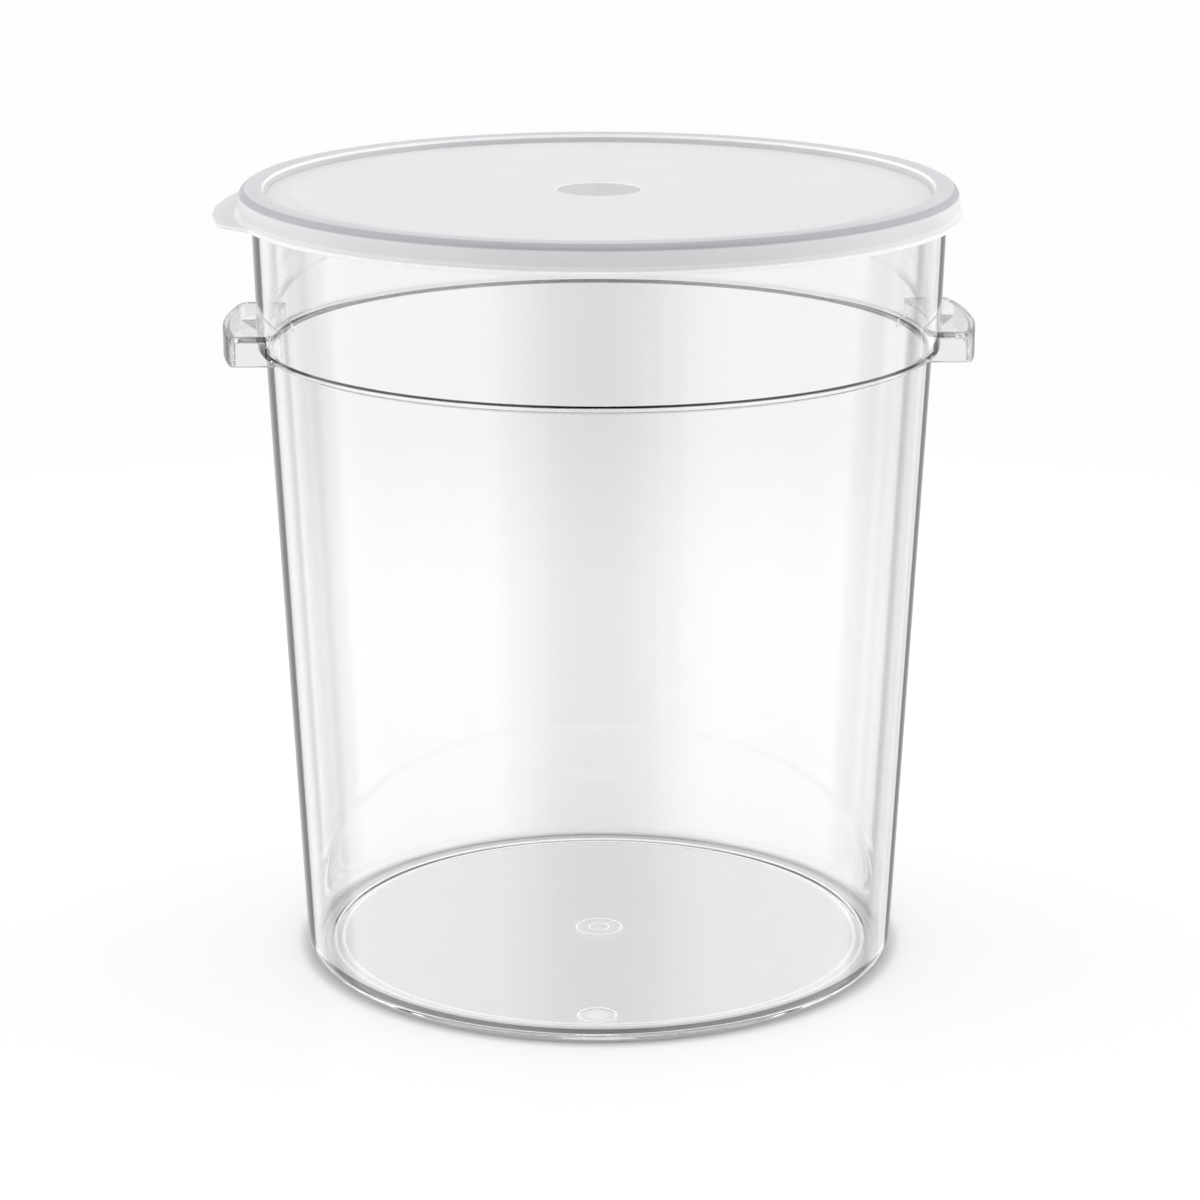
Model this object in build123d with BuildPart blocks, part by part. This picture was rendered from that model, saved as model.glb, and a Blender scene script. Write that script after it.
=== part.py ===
"""Round storage container for proofing dough, with its press-on lid.

The container is one clear moulding: a tapered wall, a stepped shoulder, a rim
lip, a foot ring and two pocket handles that open downwards. The lid is one
translucent moulding with a sunk panel, a snap skirt and a pull tab. Heights are
measured up from the table, along +Z, the handles lie on the X axis, and every
length is in millimetres.
"""

import os
from math import radians, sin, tan

from build123d import *

os.makedirs("parts", exist_ok=True)

# Container wall: outer radii and the heights where they hold
wall = 3.6
base_radius = 141.9
shoulder_radius = 155.9
band_radius = 159.3
mouth_radius = 161.4
shoulder_height = 295.2
shoulder_rise = 1.5
ledge_thickness = 2.3
container_height = 369.5

# Container rim lip, which the lid snaps over
lip_projection = 2.8
lip_depth = 5.1
lip_underside_slope = 0.8
rim_chamfer = 1.4

# Container base: a low foot ring slopes in to the underside of the floor
base_corner_radius = 6.5
foot_ring_width = 10.4
foot_height = 0.8
foot_flank = 4.4
floor_thickness = 2.6
floor_corner_radius = 5.0

# Round insert marks left by the mould in the underside of the floor
mark_depth = 0.4
gate_ring_radius = 11.0
gate_stub_radius = 4.8
disc_mark_radius = 8.7
disc_mark_inset = 17.6
disc_mark_angle = -92.5

# Handles: pockets with a top plate, a skirt and two flat ends, open below
handle_radius = 175.5
handle_half_length = 44.0
handle_drop = 1.9
handle_depth = 14.0
handle_plate = 2.6
handle_skirt = 2.7
handle_end_wall = 2.5
handle_corner_radius = 2.5
handle_edge_radius = 1.3
gusset_reach = 7.4
gusset_thickness = 2.4
gusset_depth = 8.0

# Lid: wall, depth and the clearances to the container's rim
lid_wall = 1.6
lid_depth = 13.9
lid_corner_radius = 4.0
plug_clearance = 0.5
skirt_clearance = 0.9
skirt_draft = 0.2
bead_height = 0.6
bead_width = 2.8
bead_gap = 0.4
bead_crest_share = 0.5
flange_width = 1.8

# Lid panel: sunk below the land, with a shallow moat round it
recess_depth = 3.6
recess_slope = 1.1
moat_depth = 0.8
moat_width = 11.5
moat_slope = 1.6
disc_radius = 19.5
disc_depth = 0.4

# Pull tab on the lid's flange
tab_reach = 10.2
tab_angle = 174.0
tab_tip_half_angle = 19.5
tab_root_half_angle = 25.1
tab_tip_radius = 12.0
tab_root_radius = 16.0

# How far a cutting body runs past what it cuts
overrun = 2.0

# Heights and radii that follow from the sizes above
band_height = shoulder_height + shoulder_rise
lip_radius = mouth_radius + lip_projection
lip_bottom = container_height - lip_depth
foot_inner_radius = base_radius - foot_ring_width
floor_top = foot_height + floor_thickness
disc_mark_distance = foot_inner_radius - disc_mark_inset
lid_top = container_height + lid_wall
lid_bottom = lid_top - lid_depth
skirt_inner_radius = lip_radius + skirt_clearance
lid_radius = skirt_inner_radius + lid_wall
plug_radius = mouth_radius - wall - plug_clearance
land_inner_radius = plug_radius - lid_wall
flange_radius = lid_radius + skirt_draft + flange_width
tab_radius = flange_radius + tab_reach
handle_bottom = shoulder_height - handle_drop
handle_top = handle_bottom + handle_depth
pocket_top = handle_top - handle_plate
panel_top = lid_top - recess_depth
moat_top = panel_top - moat_depth
recess_foot = land_inner_radius - recess_slope
moat_inner = recess_foot - moat_width
bead_top = lip_bottom - bead_gap
bead_crest = bead_top - bead_width * bead_crest_share


def flats(before, corner, after, rounding):
    """Points of the two flats that ease a corner.

    The flats stand in for an arc of the rounding's radius, and start, meet and
    end on it.
    """
    back = (before - corner).normalized()
    ahead = (after - corner).normalized()
    inward = (back + ahead).normalized()
    half_angle = radians(back.get_angle(ahead)) / 2
    reach = rounding / tan(half_angle)
    inset = rounding / sin(half_angle) - rounding
    return [corner + back * reach, corner + inward * inset, corner + ahead * reach]


def outline(corners):
    """Closed section to turn about the Z axis.

    Each corner is a radius, a height and the radius that rounds it, and zero
    leaves it sharp.
    """
    places = [Vector(radius, height) for radius, height, _ in corners]
    neighbours = zip(places[-1:] + places[:-1], places[1:] + places[:1])
    points = []
    for place, (before, after), (_, _, rounding) in zip(places, neighbours, corners):
        points += flats(before, place, after, rounding) if rounding else [place]
    with BuildSketch(Plane.XZ, mode=Mode.PRIVATE) as section:
        with BuildLine():
            Polyline(points, close=True)
        make_face()
    return section.sketch


with BuildPart() as cavity:
    # The space inside the container, wall by wall
    inside = outline(
        [
            (0, floor_top, 0),
            (base_radius - wall, floor_top, floor_corner_radius),
            (shoulder_radius - wall, shoulder_height + ledge_thickness, 0),
            (band_radius - wall, band_height + ledge_thickness, 0),
            (mouth_radius - wall, container_height, 0),
            (mouth_radius - wall, container_height + overrun, 0),
            (0, container_height + overrun, 0),
        ]
    )
    revolve(inside, axis=Axis.Z)

with BuildPart() as container:
    # Both handles start as one bar across the container with rounded edges
    with BuildSketch(Plane.XY.offset(handle_bottom)):
        Circle(handle_radius)
        Rectangle(2 * handle_radius, 2 * handle_half_length, mode=Mode.INTERSECT)
    extrude(amount=handle_depth)
    fillet(container.edges().filter_by(Axis.Z), handle_corner_radius)
    fillet(container.edges().group_by(Axis.Z)[-1], handle_edge_radius)

    # The pocket leaves the top plate, the skirt and the flat ends
    with BuildSketch(Plane.XY.offset(handle_bottom)):
        Circle(handle_radius - handle_skirt)
        Rectangle(
            2 * handle_radius,
            2 * (handle_half_length - handle_end_wall),
            mode=Mode.INTERSECT,
        )
    extrude(amount=pocket_top - handle_bottom, mode=Mode.SUBTRACT)

    # A gusset under the plate braces the middle of each handle
    with BuildSketch(Plane.XY.offset(pocket_top - gusset_depth)):
        Rectangle(2 * (band_radius + gusset_reach), gusset_thickness)
    extrude(amount=gusset_depth)

    # The outside of the container, filled to the axis, then hollowed
    outside = outline(
        [
            (0, foot_height, 0),
            (foot_inner_radius - foot_flank, foot_height, 0),
            (foot_inner_radius, 0, 0),
            (base_radius, 0, base_corner_radius),
            (shoulder_radius, shoulder_height, 0),
            (band_radius, band_height, 0),
            (mouth_radius, lip_bottom, 0),
            (lip_radius, lip_bottom + lip_underside_slope, 0),
            (lip_radius, container_height - rim_chamfer, 0),
            (lip_radius - rim_chamfer, container_height, 0),
            (0, container_height, 0),
        ]
    )
    revolve(outside, axis=Axis.Z)
    add(cavity.part, mode=Mode.SUBTRACT)

    # Shallow insert marks in the underside: one at the gate, one near the foot
    with BuildSketch(Plane.XY.offset(foot_height)):
        Circle(gate_ring_radius)
        Circle(gate_stub_radius, mode=Mode.SUBTRACT)
        with PolarLocations(disc_mark_distance, 1, start_angle=disc_mark_angle):
            Circle(disc_mark_radius)
    extrude(amount=mark_depth, mode=Mode.SUBTRACT)

container.part.label = "container"
export_step(container.part, "parts/container.step")

with BuildPart() as lid:
    # Flange round the foot of the skirt, drawn out into the pull tab
    with BuildSketch(Plane.XY.offset(lid_bottom)) as flange:
        Circle(flange_radius)
        with BuildLine():
            front_root, front_tip, middle, back_tip, back_root = [
                Vector(radius, 0).rotate(Axis.Z, tab_angle + angle)
                for radius, angle in (
                    (flange_radius, tab_root_half_angle),
                    (tab_radius, tab_tip_half_angle),
                    (tab_radius, 0),
                    (tab_radius, -tab_tip_half_angle),
                    (flange_radius, -tab_root_half_angle),
                )
            ]
            ThreePointArc(front_tip, middle, back_tip)
            Polyline(back_tip, back_root, (0, 0), front_root, front_tip)
        make_face()
        fillet(flange.vertices().sort_by_distance((0, 0))[2:], tab_tip_radius)
        fillet(flange.vertices().sort_by_distance((0, 0))[:2], tab_root_radius)
    extrude(amount=lid_wall)
    with BuildSketch(Plane.XY.offset(lid_bottom)):
        Circle(skirt_inner_radius + skirt_draft)
    extrude(amount=lid_wall, mode=Mode.SUBTRACT)

    # Land, skirt with its snap bead, and sunk panel, as one thin section
    thin_section = outline(
        [
            (0, panel_top - disc_depth, 0),
            (disc_radius, panel_top - disc_depth, 0),
            (disc_radius + disc_depth, panel_top, 0),
            (moat_inner - moat_slope, panel_top, 0),
            (moat_inner, moat_top, 0),
            (recess_foot, moat_top, 0),
            (land_inner_radius, lid_top, 0),
            (lid_radius, lid_top, lid_corner_radius),
            (lid_radius + skirt_draft, lid_bottom, 0),
            (skirt_inner_radius + skirt_draft, lid_bottom, 0),
            (skirt_inner_radius, bead_top - bead_width, 0),
            (skirt_inner_radius - bead_height, bead_crest, 0),
            (skirt_inner_radius, bead_top, 0),
            (skirt_inner_radius, container_height - rim_chamfer, 0),
            (skirt_inner_radius - rim_chamfer, container_height, 0),
            (plug_radius, container_height, 0),
            (plug_radius - recess_slope, moat_top - lid_wall, 0),
            (moat_inner, moat_top - lid_wall, 0),
            (moat_inner - moat_slope, panel_top - lid_wall, 0),
            (0, panel_top - lid_wall, 0),
        ]
    )
    revolve(thin_section, axis=Axis.Z)

lid.part.label = "lid"
export_step(lid.part, "parts/lid.step")
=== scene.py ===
"""Dressed model of a dough proofing container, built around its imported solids.

Two pieces stand for the two solids. ContainerShell is one clear moulding: a
turned wall, floor and rim with two hollow handles. LidShell is one milky
moulding: a turned section whose flange swells into the pull tab. Sizes are in
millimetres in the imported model's own frame, with +Z up, the handles on the X
axis and the photograph's viewer towards -Y, and become metres in the meshes.
"""

import logging
from collections.abc import Mapping, Sequence
from dataclasses import dataclass, field
from enum import Enum
from typing import Any, Optional

import bpy
import numpy as np
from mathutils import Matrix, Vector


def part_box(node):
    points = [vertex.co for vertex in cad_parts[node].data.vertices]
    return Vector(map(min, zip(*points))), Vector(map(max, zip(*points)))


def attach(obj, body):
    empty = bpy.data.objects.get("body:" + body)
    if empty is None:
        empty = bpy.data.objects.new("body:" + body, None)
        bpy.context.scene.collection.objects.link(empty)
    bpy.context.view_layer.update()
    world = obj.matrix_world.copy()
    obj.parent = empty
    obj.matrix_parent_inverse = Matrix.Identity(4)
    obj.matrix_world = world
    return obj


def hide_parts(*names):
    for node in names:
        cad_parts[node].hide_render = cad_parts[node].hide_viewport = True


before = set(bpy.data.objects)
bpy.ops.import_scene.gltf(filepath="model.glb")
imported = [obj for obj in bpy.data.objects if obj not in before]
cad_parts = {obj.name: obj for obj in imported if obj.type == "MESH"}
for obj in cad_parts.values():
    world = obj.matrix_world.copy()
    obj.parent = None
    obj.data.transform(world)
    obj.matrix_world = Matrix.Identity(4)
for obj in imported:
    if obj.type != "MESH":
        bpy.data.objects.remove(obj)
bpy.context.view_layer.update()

METRES = 0.001
SHARP_DEGREES = 28.0
WHITE = "ffffff"
BLACK = "000000"

# Points on an arc and the longest stretch left undivided, where a section names no others
ARC_POINTS = 7
LONGEST_MM = 12.0

# How far a guard point stands from its arc: a share of the radius, up to a limit
GUARD_SHARE = 0.3
GUARD_MM = 0.4

# Ray depths are whole numbers, so half a bounce tells none from one
HALF_BOUNCE = 0.5

# Angles from the front in degrees, with the level of light at each
Lights = tuple[tuple[float, float], ...]

log = logging.getLogger("proofing_container")


class Join(Enum):
    """What a Boolean does with the second solid."""

    ADD = "UNION"
    CUT = "DIFFERENCE"


@dataclass(frozen=True)
class Corner:
    """A corner of a section or of a plan outline, in millimetres.

    Attributes:
        across: Distance from the axis, or from an outer face.
        up: Height above the table.
        rounding: Radius of the arc that eases the corner, zero for none.
        swell: Share of the flange's local growth that the corner takes.
    """

    across: float
    up: float
    rounding: float = 0.0
    swell: float = 0.0


def rounded(
    corners: Sequence[Corner], arc_points: int = ARC_POINTS, longest: float = LONGEST_MM
) -> np.ndarray:
    """Points of an open section with true arcs at its corners.

    With a and b the unit directions from a corner back and ahead, and h half
    the angle between them, the centre of an arc of radius r lies r / sin(h)
    along a + b. Its points are centre + r (cos t u + sin t v), where u points
    from the centre to the corner, v runs along b - a, and t goes from h - 90
    to 90 - h degrees. A guard point stands just beyond each end of an arc, so
    that the flats beside it shade flat.

    Args:
        corners: The section's corners in order.
        arc_points: Points on each arc.
        longest: Longest stretch left undivided, in millimetres.

    Returns:
        Rows of distance, height and swell.
    """
    places = np.array([(c.across, c.up, c.swell) for c in corners])
    points = [places[:1]]
    for before, place, after, corner in zip(places, places[1:], places[2:], corners[1:]):
        if corner.rounding == 0:
            points.append(place[None])
            continue
        back = (before - place)[:2] / np.linalg.norm((before - place)[:2])
        ahead = (after - place)[:2] / np.linalg.norm((after - place)[:2])
        half = np.arccos(np.clip(back @ ahead, -1, 1)) / 2
        inward = (back + ahead) / np.linalg.norm(back + ahead)
        along = (ahead - back) / np.linalg.norm(ahead - back)
        turn = np.linspace(half - np.pi / 2, np.pi / 2 - half, arc_points)[:, None]
        centre = place[:2] + inward * corner.rounding / np.sin(half)
        arc = centre + corner.rounding * (np.sin(turn) * along - np.cos(turn) * inward)
        reach = corner.rounding / np.tan(half) + min(GUARD_SHARE * corner.rounding, GUARD_MM)
        eased = np.vstack([place[:2] + back * reach, arc, place[:2] + ahead * reach])
        points.append(np.column_stack([eased, np.full(len(eased), corner.swell)]))
    points.append(places[-1:])
    line = np.concatenate(points)
    lengths = np.linalg.norm(np.diff(line[:, :2], axis=0), axis=1)
    ends = np.concatenate([[0.0], np.cumsum(lengths)])
    counts = np.maximum(np.ceil(lengths / longest), 1).astype(int)
    stations = [np.linspace(a, b, n, endpoint=False) for a, b, n in zip(ends, ends[1:], counts)]
    at = np.concatenate([*stations, ends[-1:]])
    return np.column_stack([np.interp(at, ends, line[:, k]) for k in range(3)])


def once_round(columns: int, start: float = 0.0) -> np.ndarray:
    """Angles in radians of evenly spaced columns, once round from the start."""
    return np.linspace(start, start + 2 * np.pi, columns, endpoint=False)


def quads_between(starts: np.ndarray, nexts: np.ndarray, columns: int) -> list:
    """Quads that join closed rings, each to the next.

    A quad's corners are (i, j), (i, j + 1), (n, j + 1) and (n, j), for point j
    of ring i and the next ring n. They face outwards where the rings run
    anticlockwise and the section runs outwards below and inwards above.

    Args:
        starts: Number of each ring's first point.
        nexts: The same for the ring that follows it.
        columns: Points in a ring.

    Returns:
        The faces as lists of point numbers.
    """
    here = np.arange(columns)
    ahead = np.roll(here, -1)
    low, high = starts[:, None], nexts[:, None]
    quads = np.stack([low + here, low + ahead, high + ahead, high + here], axis=-1)
    return quads.reshape(-1, 4).tolist()


def closed_skin(
    rings: np.ndarray, first_pole: Sequence[float], last_pole: Sequence[float]
) -> tuple[np.ndarray, list]:
    """Closes a stack of rings into one skin, with a fan of triangles at each end.

    Args:
        rings: Array of rings, by points in a ring, by three.
        first_pole: Point that closes the first ring.
        last_pole: Point that closes the last ring.

    Returns:
        The points, and the faces as lists of point numbers.
    """
    rows, columns = rings.shape[:2]
    starts = np.arange(rows) * columns
    here = np.arange(columns)
    ahead = np.roll(here, -1)
    first, last = rows * columns, rows * columns + 1
    first_fan = np.column_stack([np.full(columns, first), ahead, here])
    last_fan = np.column_stack([starts[-1] + here, starts[-1] + ahead, np.full(columns, last)])
    points = np.vstack([rings.reshape(-1, 3), first_pole, last_pole])
    quads = quads_between(starts[:-1], starts[1:], columns)
    return points, quads + first_fan.tolist() + last_fan.tolist()


def turned(section: np.ndarray, angles: np.ndarray, growth: Optional[np.ndarray] = None) -> np.ndarray:
    """Rings of a section carried round the Z axis.

    A point of the section at distance r, height z and swell w lies at angle t
    at ((r + w g) cos t, (r + w g) sin t, z), where g is the growth there.

    Args:
        section: Rows of distance, height and swell, without the axis points.
        angles: Angles of the columns in radians, anticlockwise.
        growth: Growth at each angle in millimetres, or None.

    Returns:
        Array of rings, by angles, by three.
    """
    grown = np.zeros_like(angles) if growth is None else growth
    distance = section[:, :1] + section[:, 2:] * grown
    height = np.broadcast_to(section[:, 1:2], distance.shape)
    return np.stack([distance * np.cos(angles), distance * np.sin(angles), height], axis=-1)


def write_mesh(name: str, points: np.ndarray, faces: list) -> bpy.types.Object:
    """Makes an object at the origin, with its place in its mesh.

    Args:
        name: The object's name.
        points: Points in millimetres.
        faces: The faces as lists of point numbers.

    Returns:
        The new object.
    """
    mesh = bpy.data.meshes.new(name)
    mesh.from_pydata(points * METRES, [], faces)
    mesh.validate()
    thing = bpy.data.objects.new(name, mesh)
    bpy.context.scene.collection.objects.link(thing)
    return thing


def combine(base: bpy.types.Object, tools: Sequence[bpy.types.Object], join: Join) -> None:
    """Adds closed solids to another, or cuts them from it, and removes them.

    Args:
        base: The object that keeps the result.
        tools: The solids to add or cut, in order.
        join: What to do with them.
    """
    for tool in tools:
        modifier = base.modifiers.new(tool.name, "BOOLEAN")
        modifier.operation = join.value
        modifier.solver = "EXACT"
        modifier.object = tool
    evaluated = base.evaluated_get(bpy.context.evaluated_depsgraph_get())
    merged = bpy.data.meshes.new_from_object(evaluated)
    base.modifiers.clear()
    old, base.data = base.data, merged
    bpy.data.meshes.remove(old)
    for tool in tools:
        spare = tool.data
        bpy.data.objects.remove(tool)
        bpy.data.meshes.remove(spare)


def shade(thing: bpy.types.Object) -> None:
    """Shades a mesh smooth, but for edges past the sharp angle."""
    thing.data.shade_smooth()
    thing.data.set_sharp_from_angle(angle=np.radians(SHARP_DEGREES))


def linear(hex_colour: str) -> tuple[float, float, float, float]:
    """Turns an sRGB hex colour into the linear one, by the numbers of that standard.

    Args:
        hex_colour: Six hex digits.

    Returns:
        Red, green, blue and full opacity, as shaders take them.
    """
    channels = np.frombuffer(bytes.fromhex(hex_colour), np.uint8) / 255
    low = channels / 12.92
    high = ((channels + 0.055) / 1.055) ** 2.4
    return (*np.where(channels <= 0.04045, low, high).tolist(), 1.0)


def add_node(
    tree: bpy.types.NodeTree, kind: str, inputs: Mapping[Any, Any] | Sequence[Any] = (), **settings: Any
) -> bpy.types.Node:
    """Adds a node with its settings, and its inputs as values or links.

    Args:
        tree: The node tree.
        kind: The node's type name, without its ShaderNode prefix.
        inputs: Inputs in the node's own order, or by name or number. Each is a
            value, an output, or a node for its first output. A Mix node's
            numbers are 0, 2 and 3, or for colours 0, 6 and 7 with output 2.
        **settings: Attributes of the node.

    Returns:
        The new node.
    """
    node = tree.nodes.new("ShaderNode" + kind)
    for key, value in settings.items():
        setattr(node, key, value)
    pairs = inputs.items() if isinstance(inputs, Mapping) else enumerate(inputs)
    for key, value in pairs:
        source = value.outputs[0] if isinstance(value, bpy.types.Node) else value
        if isinstance(source, bpy.types.NodeSocket):
            tree.links.new(source, node.inputs[key])
        else:
            node.inputs[key].default_value = source
    return node


def new_material(name: str) -> tuple[bpy.types.Material, bpy.types.NodeTree]:
    """Makes an empty node material.

    Args:
        name: The material's name.

    Returns:
        The material and its node tree.
    """
    material = bpy.data.materials.new(name)
    material.use_nodes = True
    material.node_tree.nodes.clear()
    return material, material.node_tree


@dataclass(frozen=True)
class Scuff:
    """A fine frosted circle on the floor, in millimetres.

    It lies over an edge of the foot, or where an insert of the mould left its witness line. The share is
    how far it clouds the plastic, and how much of the painted glow it gives off.
    """

    radius: float
    half_width: float
    share: float
    x: float = 0.0
    y: float = 0.0


@dataclass(frozen=True)
class PolishedPolycarbonate:
    """Clear polycarbonate, injection moulded in a polished steel mould.

    It gives the eye sharp dark edges, clean highlights and a faint ripple in them where the melt flowed,
    with fine frosted circles under the floor that a painted glow makes white. Lamps shine through it with
    a little loss.

    Attributes:
        tint: Colour of the clear plastic.
        passed: Colour of the light that a surface passes on to what is behind.
        blocked: The same at the foot's thick corner, which bends light away.
        blocked_below_mm: Heights where that corner's share is full, and none.
        blocked_beyond_mm: Distance from the axis where the corner starts.
        ripple_mm: Length of the flow ripples.
        ripple_height_mm: Height of the flow ripples.
        ripple_span: Values of the ripples' noise at the clearest and haziest.
        ripple_detail: How many finer ripples lie over them.
        ior: The plastic's own.
        clearest: Roughness of the best polished places.
        haziest: Roughness where the flow dulled the polish.
        scuffs: The frosted circles.
        scuffed_height_mm: Height that they lie at, on the floor's upper side.
        scuffed_within_mm: How far from that height they may be.
        scuff_painted_glow: Level of the painted glow, an emission that makes the frosted circles white
            though no lamp lights them so.
    """

    tint: str = "f8f8f8"
    passed: str = "f3f3f3"
    blocked: str = "303030"
    blocked_below_mm: tuple[float, float] = (4.0, 10.0)
    blocked_beyond_mm: float = 131.0
    ripple_mm: float = 55.0
    ripple_height_mm: float = 0.02
    ripple_span: tuple[float, float] = (0.3, 0.8)
    ripple_detail: float = 1.0
    ior: float = 1.585
    clearest: float = 0.0
    haziest: float = 0.012
    scuffs: tuple[Scuff, ...] = ()
    scuffed_height_mm: float = 3.3
    scuffed_within_mm: float = 1.2
    scuff_painted_glow: float = 0.35

    def build(self) -> bpy.types.Material:
        """Builds the material.

        Returns:
            The node material.
        """
        material, tree = new_material("polished_clear_polycarbonate")
        place = add_node(tree, "TexCoord").outputs["Object"]
        ripple = add_node(
            tree,
            "TexNoise",
            {"Vector": place, "Scale": 1 / (self.ripple_mm * METRES), "Detail": self.ripple_detail},
        )
        haze = add_node(tree, "MapRange", [ripple, *self.ripple_span, self.clearest, self.haziest])
        relief = add_node(
            tree, "Bump", {"Height": ripple, "Strength": 1.0, "Distance": self.ripple_height_mm * METRES}
        )
        flat = add_node(tree, "VectorMath", [place, (1, 1, 0)], operation="MULTIPLY")
        frost = 0.0
        for scuff in self.scuffs:
            middle = (scuff.x * METRES, scuff.y * METRES, 0)
            reach = add_node(tree, "VectorMath", [flat, middle], operation="DISTANCE")
            gap = add_node(
                tree, "Math", [reach.outputs["Value"], scuff.radius * METRES], operation="SUBTRACT"
            )
            gap = add_node(tree, "Math", [gap], operation="ABSOLUTE")
            edge = scuff.half_width * METRES
            line = add_node(tree, "MapRange", [gap, edge, edge / 2, 0.0, scuff.share])
            frost = add_node(tree, "Math", [frost, line], operation="MAXIMUM")
        height = add_node(tree, "SeparateXYZ", [place]).outputs["Z"]
        on_floor = add_node(
            tree,
            "Math",
            [height, self.scuffed_height_mm * METRES, self.scuffed_within_mm * METRES],
            operation="COMPARE",
        )
        frost = add_node(tree, "Math", [on_floor, frost], operation="MULTIPLY")
        clear = add_node(tree, "Math", [1.0, frost], operation="SUBTRACT")
        # Painted glow: the frosted circles emit white light of their own, which no lamp gives them
        glow = add_node(tree, "Math", [frost, self.scuff_painted_glow], operation="MULTIPLY")
        plastic = add_node(
            tree,
            "BsdfPrincipled",
            {
                "Base Color": linear(self.tint),
                "Transmission Weight": clear,
                "IOR": self.ior,
                "Roughness": haze,
                "Normal": relief,
                "Emission Color": linear(WHITE),
                "Emission Strength": glow,
            },
        )
        distance = add_node(tree, "VectorMath", [flat], operation="LENGTH")
        beyond = add_node(
            tree,
            "Math",
            [distance.outputs["Value"], self.blocked_beyond_mm * METRES],
            operation="GREATER_THAN",
        )
        full, none = (mm * METRES for mm in self.blocked_below_mm)
        corner = add_node(tree, "MapRange", [height, none, full, 0.0, beyond])
        passed = add_node(
            tree, "Mix", {0: corner, 6: linear(self.passed), 7: linear(self.blocked)}, data_type="RGBA"
        )
        through = add_node(tree, "BsdfTransparent", {"Color": passed.outputs[2]})
        path = add_node(tree, "LightPath")
        lit_through = add_node(
            tree,
            "Math",
            [path.outputs["Is Shadow Ray"], path.outputs["Is Diffuse Ray"]],
            operation="MAXIMUM",
        )
        mixed = add_node(tree, "MixShader", [lit_through, plastic, through])
        add_node(tree, "OutputMaterial", {"Surface": mixed})
        return material


@dataclass(frozen=True)
class Ring:
    """A ring of another shade on the lid, in millimetres from its axis: painted shade, a painted
    highlight or the lid's own grey.

    It stays above a height, in millimetres over the table.
    """

    inner: float
    outer: float
    soft: float
    shade: str
    above: float = 0.0


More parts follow.
